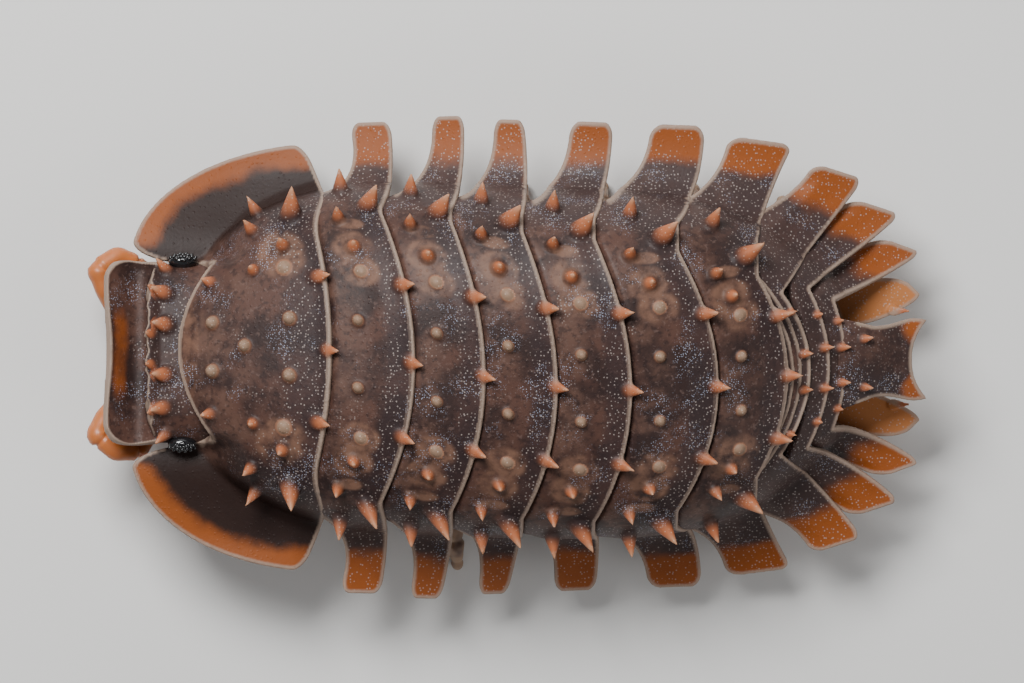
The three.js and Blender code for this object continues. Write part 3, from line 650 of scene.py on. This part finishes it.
for number, (ahead, behind, reach, front_edge, rear_edge, tip_z, feet) in enumerate(TAIL_PLATES, 3):
    arc = lambda line, y: line[0] - line[1] * (np.abs(y) / line[2]) ** 2
    roots = [(float(arc(line, y)), y) for line, y in zip((ahead, behind), reach)]
    *lobe_edges, share = lobe_lines((roots[0], *front_edge), (roots[1], *rear_edge))
    middles = [np.linspace(-y, y, 70)[1:-1] for y in reach]
    middles = [np.column_stack((arc(line, y), y)) for line, y in zip((ahead, behind), middles)]
    front, rear, share = whole_lines(*middles, lobe_edges, lobe_edges, share)
    lower = 0.05 * (number - 3)

    def tail_height(x, y, u, share):
        relief = -0.24 + 0.14 * smooth(0.0, 0.3, u) + 0.07 * smooth(0.7, 1.0, u) - lower * 0.6
        lobe = tip_z + (2.7 - 2 * lower - tip_z) * (1 - share) ** 2
        lobe += smooth(1, 0.6, share) * (0.04 * smooth(0.6, 1, u) - 0.14 * smooth(0.35, 0, u))
        return blend_up(dorsal(x, y) + relief - past_flank(x, y), lobe - 0.35 * (share < 0.01), 0.4)

    spines = both_sides([(*foot, *size) for foot, size in zip(feet, TAIL_SPINES)])
    free, ends = edge_lines(front, rear, share > 0.3, share > 0.94)
    plate = shell_plate(
        f"tail_plate_{number}", front, rear, share, tail_height, spines, free, ends,
        thickness=0.11, voxel=0.026, orange_reach=(1.0, 0.3), side_fade=0.82,
        lobe_span=((1.4, 2.2), (0.4, 1)), columns=250, rows=16)
    dress(plate, shell, "cuticle", "pleon")

# Telson, the last plate. An hourglass with a hollowed hind edge between two points, dark in the
# middle and orange at its hind corners, with one pair of spines near its root.
TELSON_X, TELSON_LENGTH, HIND_HALF = 5.85, 1.65, 0.72
WAIST_PLACES = (0, 0.3, 0.42, 0.6, 0.82, 0.94, 1)
WAIST_HALVES = (0.86, 0.72, 0.65, 0.67, 0.77, 0.76, 0.72)
along = np.linspace(0, 1, 60)
telson_half = np.pad(np.interp(along, WAIST_PLACES, WAIST_HALVES), 3, mode="edge")
telson_half = np.convolve(telson_half, np.ones(7) / 7, "valid")
telson_x = TELSON_X + TELSON_LENGTH * along
right_edge, left_edge = (np.column_stack((telson_x, side * telson_half)) for side in (1, -1))


def hollow_hind_edge(points):
    share = np.clip((points[:, 0] - TELSON_X) / TELSON_LENGTH, 0, 1)
    across = np.clip(np.abs(points[:, 1]) / HIND_HALF, 0, 1)
    moved = points.copy()
    moved[:, 0] -= 0.27 * share ** 4 * (1 - across ** 2.2)
    return moved


def telson_height(x, y, u, share):
    return 2.86 - 0.62 * smooth(5.85, 7.6, x) - 0.14 * (y / 0.75) ** 2 + 0.05 * smooth(7.0, 7.45, x)


hind_line = hollow_hind_edge(np.column_stack((
    np.full(40, TELSON_X + TELSON_LENGTH), np.linspace(-HIND_HALF, HIND_HALF, 40))))
free = np.vstack((right_edge[14:], left_edge[14:], hind_line))
telson = shell_plate(
    "telson_plate", right_edge, left_edge, along, telson_height,
    both_sides([(6.3, 0.44, 0.26, 0.1, 1.2, 0, 0)]), free, np.vstack((hind_line[:4], hind_line[-4:])),
    thickness=0.12, voxel=0.024, orange_reach=(0.6, 0.1), side_fade=3.0, lobe_span=((0, 1), (0.14, 0.2)),
    columns=60, rows=50, warp=hollow_hind_edge)
dress(telson, shell, "cuticle", "telson")

# Uropods, the flat blades between the telson and the last side lobes. Nearly all orange, with
# a pale rim; their orange is lightened, partly as their own paler colour and partly as painted light
# against the shade of the telson and tail lobes. The small inner branch stands as a spine beside the
# telson's edge.
SIDES = ((-1, "left"), (1, "right"))
BLADE_OUTER_EDGE = ((5.75, 1.2), (6.3, 1.55), (7.13, 1.43))
BLADE_INNER_EDGE = ((5.95, 0.6), (6.55, 0.5), (7.45, 1.12))
for side, word in SIDES:
    outer, inner, share = lobe_lines(BLADE_OUTER_EDGE, BLADE_INNER_EDGE)
    right_line, left_line = (outer * (1, side), inner * (1, side))[::side]
    free, ends = edge_lines(right_line, left_line, share > 0.0, share > 0.0)
    blade = shell_plate(
        f"uropod_blade_{word}", right_line, left_line, share, lambda x, y, u, share: 1.56 - 0.1 * share,
        [(6.98, side * 0.86, 0.3, 0.08, 3.0, 0, 0)], free, ends, thickness=0.12, voxel=0.022,
        # A lobe value of 2 marks the blade for its paler orange and painted light
        orange_reach=(3.0, 2.0), lobe_span=((0, 1), (2, 2)), columns=70, rows=22)
    dress(blade, shell, "cuticle", f"uropod_{word}")

# Head. A domed crown edged in front by a toothed crest, and before it a broad dish-like shield.
# The same shell, its spines orange, the shield's edge pale with an orange streak behind it.
# Crown, shield and face are fused into one skin with the spines.
CROWN_BASE_Z, CROWN_RISE, CREST_RISE = 1.9, 1.02, 0.12
CROWN_SPINES = (
    (-6.4, 0.46, 0.4, 0.17, -0.9, 0, 0),
    (-6.42, 1.05, 0.4, 0.17, -0.9, 0, 0),
    (-6.66, 0.28, 0.24, 0.11, -1.1, 0, 0),
    (-6.64, 1.12, 0.22, 0.1, -1.1, 0, 0),
    (-6.4, 1.5, 0.36, 0.14, -0.9, 0.2, 0),
)


def crown_height(x, y):
    side = np.clip(np.abs(y) / 1.72, 0, 1)
    crest = CREST_RISE * smooth(-6.5, -6.72, x)
    return CROWN_BASE_Z + (CROWN_RISE + crest) * (1 - side ** 3) ** (1 / 2.4)


def shield_height(x, y, u, at):
    dish = 0.3 * smooth(-6.95, -7.5, x)
    lip = 0.05 * smooth(0.1, 0.0, u) * smooth(1.68, 1.4, np.abs(y))
    wing = 0.05 * smooth(1.5, 1.7, np.abs(y))
    root = 0.12 * smooth(-6.9, -6.6, x)
    return 2.36 + dish + lip + wing + root


def new_ball(name, centre, radii, segments, rings):
    """A ball drawn out to three radii."""
    bpy.ops.mesh.primitive_uv_sphere_add(segments=segments, ring_count=rings, radius=1, location=centre)
    bpy.ops.object.mode_set(mode="EDIT")
    bpy.ops.transform.resize(value=radii)
    bpy.ops.object.mode_set(mode="OBJECT")
    ball = bpy.context.object
    ball.name = name
    settle(ball)
    return ball


across = np.linspace(-1.66, 1.66, 80)
teeth = 0.02 * np.cos(across * 11) + 0.012 * np.cos(across * 26 + 1)
crest_line = np.column_stack((-6.76 + 0.14 * (np.abs(across) / 1.6) ** 2.5 + teeth, across))
crown_rear = np.column_stack((hind_edge(-1, across) + 0.12, across))
crown_top = lambda x, y, u, at: crown_height(x, y)
head, _ = sheet_between("head_shell", crest_line, crown_rear, crown_top, 120, 24)
crown_samples = coordinates(head.data)
modify(head, "SOLIDIFY", thickness=0.3, offset=-1)

side_share = np.sin(np.linspace(-math.pi / 2, math.pi / 2, 240))
shield_corner = 0.4 * rounding(np.abs(side_share), 0.78, 0.22)
shield_front_x = -7.46 + shield_corner + 0.04 * np.cos(4.4 * side_share)
shield_front = np.column_stack((shield_front_x, 1.7 * side_share))
shield_rear = np.column_stack((np.full(len(side_share), -6.5), 1.62 * side_share))
shield, _ = sheet_between("shield", shield_front, shield_rear, shield_height, 120, 26)
samples = np.vstack((crown_samples, coordinates(shield.data)))
modify(shield, "SOLIDIFY", thickness=0.14, offset=-1)

face = new_ball("face", (-6.72, 0, 1.7), (0.62, 1.35, 0.62), 32, 20)
join((shield, face), head)
rooted = grow(head, both_sides(CROWN_SPINES), crown_height)
fuse_forms(head, 0.024)
shield_ends = [np.linspace(shield_front[i], shield_rear[i], 12) for i in (0, -1)]
to_rim = 2.0 * distance_to(np.vstack((shield_front, *shield_ends)), samples)
to_rim[:len(crown_samples)] = 2.2 * distance_to(crest_line, crown_samples)
off_streak = np.abs(samples[:, 0] + 7.26)
streak = smooth(0.26, 0.04, off_streak) * smooth(1.2, 0.5, np.abs(samples[:, 1])) * 0.6
on_crown = samples[:, 2] > 2.75
paint(head, samples, np.column_stack((to_rim, streak, np.full(len(samples), 0.55), 0.2 * on_crown)), rooted)
finish_mesh(head)
dress(head, shell, "cuticle", "head")

# Eyes. Each is a tight cluster of black glassy lenses on a low mound, under the crown's outer
# spines. One lens is modelled, and copied in four rows of six.
eye_black = new_material("eye_glass", {
    "Base Color": (0.008, 0.008, 0.009, 1), "Roughness": 0.12, "Coat Weight": 0.6})
EYE_RADII = np.array((0.27, 0.14, 0.15))
LENS_RADIUS, LENS_ROWS, LENSES_A_ROW, LENS_TURN = 0.038, 4, 6, 24
for side, word in SIDES:
    centre = np.array((-6.12, side * 1.68, 2.42))
    eye = new_ball(f"eye_cluster_{word}", centre, EYE_RADII, 28, 16)
    bpy.ops.mesh.primitive_ico_sphere_add(subdivisions=2, radius=LENS_RADIUS)
    lens_form = bpy.context.object
    lenses = []
    for row in range(LENS_ROWS):
        for step in range(LENSES_A_ROW):
            turn = math.radians(-60 + LENS_TURN * (step + 0.5 * (row % 2)))
            lift = math.radians(12 + LENS_TURN * row)
            ahead, out = math.sin(turn) * math.cos(lift), side * math.cos(turn) * math.cos(lift)
            place = centre + EYE_RADII * (ahead, out, math.sin(lift))
            lenses.append(copy_of(lens_form, "lens", Matrix.Translation(place)))
    bpy.data.objects.remove(lens_form, do_unlink=True)
    join(lenses, eye)
    finish_mesh(eye)
    dress(eye, eye_black, "eye", f"eye_{word}")

# Feelers. Smooth orange tubes in short lengths, folded at an elbow that shows before the head,
# the last length tucked back under the shield.
feeler_orange = new_material("feeler_orange", {
    "Base Color": (0.5, 0.15, 0.04, 1), "Roughness": 0.38,
    "Subsurface Weight": 0.3, "Subsurface Radius": (0.0003, 0.00012, 0.00006)})


def close_up(gap):
    """Weld the grid just rolled up along its seam, fill its open ends and turn its faces outward."""
    bpy.ops.object.mode_set(mode="EDIT")
    bpy.ops.mesh.select_all(action="SELECT")
    bpy.ops.mesh.remove_doubles(threshold=gap)
    bpy.ops.mesh.select_all(action="DESELECT")
    bpy.ops.mesh.select_non_manifold()
    bpy.ops.mesh.fill()
    bpy.ops.mesh.select_all(action="SELECT")
    bpy.ops.mesh.normals_make_consistent(inside=False)
    bpy.ops.object.mode_set(mode="OBJECT")


def soft_path(points, at):
    """Points finely spaced along a path, its bends rounded by a running mean."""
    kernel = np.exp(-0.5 * np.linspace(-3, 3, 33) ** 2)
    kernel /= kernel.sum()
    lines = []
    for k in range(3):
        line = np.interp(np.linspace(0, 1, 400), at, points[:, k])
        before, after = 2 * line[0] - line[16:0:-1], 2 * line[-1] - line[-2:-18:-1]
        lines.append(np.convolve(np.concatenate((before, line, after)), kernel, "valid"))
    return np.column_stack(lines)


def jointed_tube(name, points, radii, joints, sides=20, rings=90):
    """A tube along points, pinched at each joint, from a grid rolled up and closed at both ends."""
    points = np.array(points, float)
    length = np.concatenate(([0], np.cumsum(np.linalg.norm(np.diff(points, axis=0), axis=1))))
    length /= length[-1]
    piece, uv = new_grid(name, sides, rings)
    along, turn = uv[:, 0], uv[:, 1] * 2 * math.pi
    path = soft_path(points, length)
    tangent = np.gradient(path, axis=0)
    tangent /= np.linalg.norm(tangent, axis=1)[:, None]
    beside = np.cross(tangent, np.array((0.02, 0.03, 1.0)))
    beside[np.linalg.norm(beside, axis=1) < 1e-3] = (1, 0, 0)
    beside /= np.linalg.norm(beside, axis=1)[:, None]
    over = np.cross(beside, tangent)
    at = lambda table: np.column_stack([
        np.interp(along, np.linspace(0, 1, len(table)), table[:, k]) for k in range(3)])
    radius = np.interp(along, length, radii)
    joint_reach = 0.035
    for joint in joints:
        past = along - joint
        pinch = 0.28 * np.exp(-(past / (0.3 * joint_reach)) ** 2)
        swelling = 0.1 * np.exp(-((past - 0.03) / joint_reach) ** 2)
        radius *= 1 - pinch + swelling
    radius *= np.sqrt(np.clip((1 - along) / 0.02, 0.02, 1)) * np.sqrt(np.clip(along / 0.01, 0.02, 1))
    around = np.cos(turn)[:, None] * at(beside) + np.sin(turn)[:, None] * at(over)
    move_to(piece.data, at(path) + radius[:, None] * around)
    close_up(0.001)
    return piece


FEELER_RADII, FEELER_JOINTS = (0.16, 0.18, 0.19, 0.2, 0.18, 0.16, 0.08), (0.3, 0.55, 0.82)
for (side, word), reach in zip(SIDES, (0.0, 0.12)):
    path = np.array((
        (-6.6, 1.06, 1.05),
        (-6.95, 1.68, 1.5),
        (-7.35, 1.74 + reach, 1.7),
        (-7.7, 1.44 + 1.5 * reach, 1.78),
        (-7.58, 1.12 + reach, 1.7),
        (-7.34, 0.78, 1.42),
        (-7.2, 0.56, 1.15),
    ))
    feeler = jointed_tube(f"feeler_{word}", path * (1, side, 1), FEELER_RADII, FEELER_JOINTS)
    finish_mesh(feeler)
    dress(feeler, feeler_orange, "feeler", f"antenna_{word}")

# Legs. Seven pairs of jointed walking legs of thin pale-brown cuticle, splayed from under the
# belly to the floor, each ending in a small claw. The third left one is stretched out.
leg_brown = new_material("leg_brown", {
    "Roughness": 0.42, "Subsurface Weight": 0.25, "Subsurface Radius": (0.0003, 0.00018, 0.0001)})
nodes, links = leg_brown.node_tree.nodes, leg_brown.node_tree.links
mottle = nodes.new("ShaderNodeTexNoise")
mottle.inputs["Scale"].default_value = 2600
links.new(nodes.new("ShaderNodeTexCoord").outputs["Object"], mottle.inputs["Vector"])
blend = nodes.new("ShaderNodeValToRGB")
for stop, position, colour in zip(
        blend.color_ramp.elements, (0.35, 0.6), ((0.16, 0.085, 0.055, 1), (0.38, 0.24, 0.15, 1))):
    stop.color = colour
    stop.position = position
links.new(mottle.outputs["Fac"], blend.inputs["Fac"])
links.new(blend.outputs["Color"], nodes["Principled BSDF"].inputs["Base Color"])

LEG_ROOTS = (-4.75, -2.75, -1.3, 0.0, 1.25, 2.7, 4.1)
FOOT_SHIFT = (-0.75, -0.4, -0.15, 0.1, 0.35, 0.6, 0.85)
LEG_RADII, LEG_JOINTS = (0.2, 0.2, 0.2, 0.2, 0.18, 0.15, 0.1, 0.05), (0.2, 0.45, 0.62, 0.75, 0.9)
FOOT_REACH, STRETCHED_REACH, STRETCHED_SHIFT = 3.15, 3.95, 0.2
for side, word in SIDES:
    for index, (root_x, shift) in enumerate(zip(LEG_ROOTS, FOOT_SHIFT)):
        narrow = float(half_width(root_x)) / WIDEST
        foot_y = FOOT_REACH * (0.4 + 0.6 * narrow)
        if side < 0 and index == 2:
            foot_y, shift = STRETCHED_REACH, STRETCHED_SHIFT
        spread = foot_y / FOOT_REACH
        root_y, knee_y = 1.35 * narrow, 2.3 * spread
        path = []
        # Share of the shift, y and z, and how far the point follows the body's twist
        for share, y, z, follow in (
                (0, root_y, 1.75, 1),
                (0, root_y + 0.03, 1.41, 1),
                (0.15, 0.55 * root_y + 0.45 * knee_y, 1.2, 1),
                (0.4, knee_y, 0.98, 0.9),
                (0.55, knee_y + 0.22, 0.82, 0.7),
                (0.8, 2.85 * spread, 0.52, 0.2),
                (0.95, foot_y - 0.04, 0.2, 0),
                (1, foot_y, 0.0, 0)):
            x = root_x + share * shift
            path.append((x, side * y, z + follow * side * y * math.sin(float(roll_at(x)))))
        leg = jointed_tube(
            f"walking_leg_{word}_{index + 1}", path, LEG_RADII, LEG_JOINTS, sides=14, rings=70)
        finish_mesh(leg, posed=False)
        dress(leg, leg_brown, "limb", f"leg_{word}_{index + 1}")

# Belly. The pale soft underside that the plates roof over and the legs grow from, with one
# shallow fold between each pair of legs. A grid rolled up and closed at both ends.
BELLY_X, BELLY_LENGTH, BELLY_Z, BELLY_DEPTH = -6.2, 12.3, 2.0, 0.42
FLANK_CLEARANCE, BACK_CLEARANCE = 0.45, 0.42
FOLD_SHARE, FOLD_LENGTH = 0.12, 1.4
belly_skin = new_material("belly_skin", {"Base Color": (0.14, 0.095, 0.075, 1), "Roughness": 0.5})
belly, uv = new_grid("belly", 48, 150)
along, turn = uv[:, 0], uv[:, 1] * 2 * math.pi
x = BELLY_X + BELLY_LENGTH * along
taper = np.sqrt(np.clip(np.minimum(along / 0.06, (1 - along) / 0.1), 0.001, 1))
inner = np.maximum(half_width(x) - FLANK_CLEARANCE, 0.5) * taper
high = np.maximum(back_height(x) - BACK_CLEARANCE - BELLY_Z, 0.3) * taper
low = BELLY_DEPTH * taper * (1 + FOLD_SHARE * np.cos(2 * math.pi * (x + 0.2) / FOLD_LENGTH))
out, up = np.cos(turn), np.sin(turn)
y = inner * (np.sign(out) * np.abs(out) ** 0.77)
z = np.where(up > 0, high * np.abs(up) ** 0.77, -low * np.abs(up) ** 0.6)
move_to(belly.data, np.column_stack((x, y, BELLY_Z + z)))
close_up(0.002)
finish_mesh(belly)
dress(belly, belly_skin, "limb")

# Floor, light and camera. A pale sheet under the animal, one large soft light and two fills,
# and a long macro view from nearly straight above. All in metres.
bpy.ops.mesh.primitive_plane_add(size=0.6, location=(0, 0, 0))
floor = bpy.context.object
floor.name = "floor"
paper = new_material("pale_paper", {"Base Color": (0.8, 0.79, 0.77, 1), "Roughness": 0.85})
floor.data.materials.append(paper)

# Each light: its place, its width and its power in watts
LIGHTS = {
    "key": ((-0.02, 0.035, 0.06), 0.03, 0.07),
    "fill": ((0.05, -0.04, 0.05), 0.05, 0.014),
    "rear": ((0.0, 0.07, 0.02), 0.05, 0.012),
}
lit_place = Vector((0, 0, 0.002))
for name, (place, width, power) in LIGHTS.items():
    lamp = bpy.data.lights.new(name, "AREA")
    lamp.size = width
    lamp.energy = power
    holder = bpy.data.objects.new(name, lamp)
    holder.location = place
    holder.rotation_euler = (lit_place - Vector(place)).to_track_quat("-Z", "Y").to_euler()
    bpy.context.collection.objects.link(holder)
world = bpy.data.worlds.new("studio")
world.use_nodes = True
sky = world.node_tree.nodes["Background"]
sky.inputs["Color"].default_value = (0.9, 0.92, 0.95, 1)
sky.inputs["Strength"].default_value = 0.22
bpy.context.scene.world = world

lens = bpy.data.cameras.new("macro")
lens.lens = 345.6
lens.clip_start = 0.01
camera = bpy.data.objects.new("macro", lens)
tilt, distance = math.radians(2.5), 0.18
seen_place = Vector((0.0001, 0.00032, 0.0022))
camera.location = seen_place + Vector((0, math.sin(tilt), math.cos(tilt))) * distance
camera.rotation_euler = (-tilt, 0, 0)
bpy.context.collection.objects.link(camera)
bpy.context.scene.camera = camera

for form in (spine_model, knob_model):
    bpy.data.objects.remove(form, do_unlink=True)
